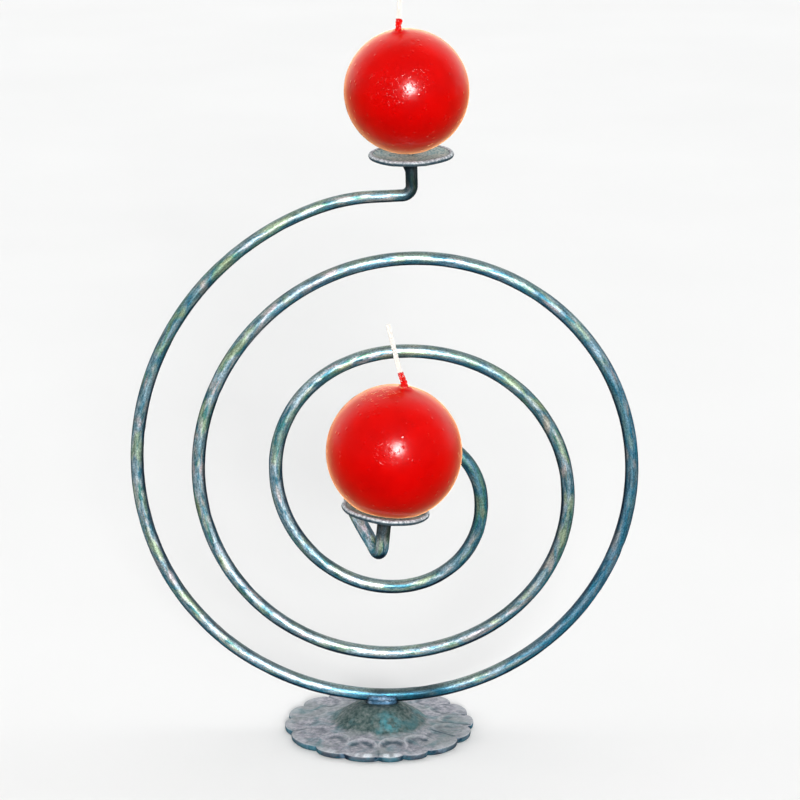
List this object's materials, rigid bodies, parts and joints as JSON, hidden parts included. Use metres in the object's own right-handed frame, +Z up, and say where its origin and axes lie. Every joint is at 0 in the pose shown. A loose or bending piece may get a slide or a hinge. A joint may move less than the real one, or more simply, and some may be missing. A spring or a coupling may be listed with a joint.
{
  "type": "spiral candle holder",
  "caption": "Forged iron candle holder: a standing conical spiral of round bar on a scalloped foot, with a spiked drip pan and a red ball candle at each end of the bar.",
  "frame": {"origin": "centre of the foot, on the table", "axes": "+Z up; the spiral faces -Y, towards the viewer, with +X to the viewer's right"},
  "size_m": [0.3099, 0.1974, 0.4768],
  "materials": {
    "bar_iron": "hammered iron bar under blue-grey metallic lacquer, rubbed bright on the high spots",
    "foot_iron": "pressed sheet steel, hammered, grey with a blue-green patina",
    "pan_iron": "satin grey-blue sheet steel",
    "weld_iron": "lumpy weld metal under the same lacquer",
    "spike_steel": "drawn steel pin, darkened",
    "core_wax": "uncoloured wax",
    "red_wax": "glossy dipped red wax",
    "wick_cotton": "braided cotton, primed"
  },
  "bodies": {
    "stand": {"spiral_rod": "bar_iron", "base_plate": "foot_iron", "base_boss": "weld_iron", "base_weld": "weld_iron", "upper_pan": "pan_iron", "upper_pan_weld": "weld_iron", "upper_spike": "spike_steel", "lower_pan": "pan_iron", "lower_pan_weld": "weld_iron", "lower_spike": "spike_steel"},
    "upper_candle": {"upper_candle_core": "core_wax", "upper_candle_coat": "red_wax", "upper_wick": "wick_cotton"},
    "lower_candle": {"lower_candle_core": "core_wax", "lower_candle_coat": "red_wax", "lower_wick": "wick_cotton"}
  },
  "joints": [
    {"name": "upper_candle_lift", "type": "slide", "parent": "stand", "child": "upper_candle", "axis": [-0.026, -0.03, 0.9992], "range_m": [0, 0.06]},
    {"name": "lower_candle_lift", "type": "slide", "parent": "stand", "child": "lower_candle", "axis": [0.1, 0, 0.995], "range_m": [0, 0.06]}
  ]
}
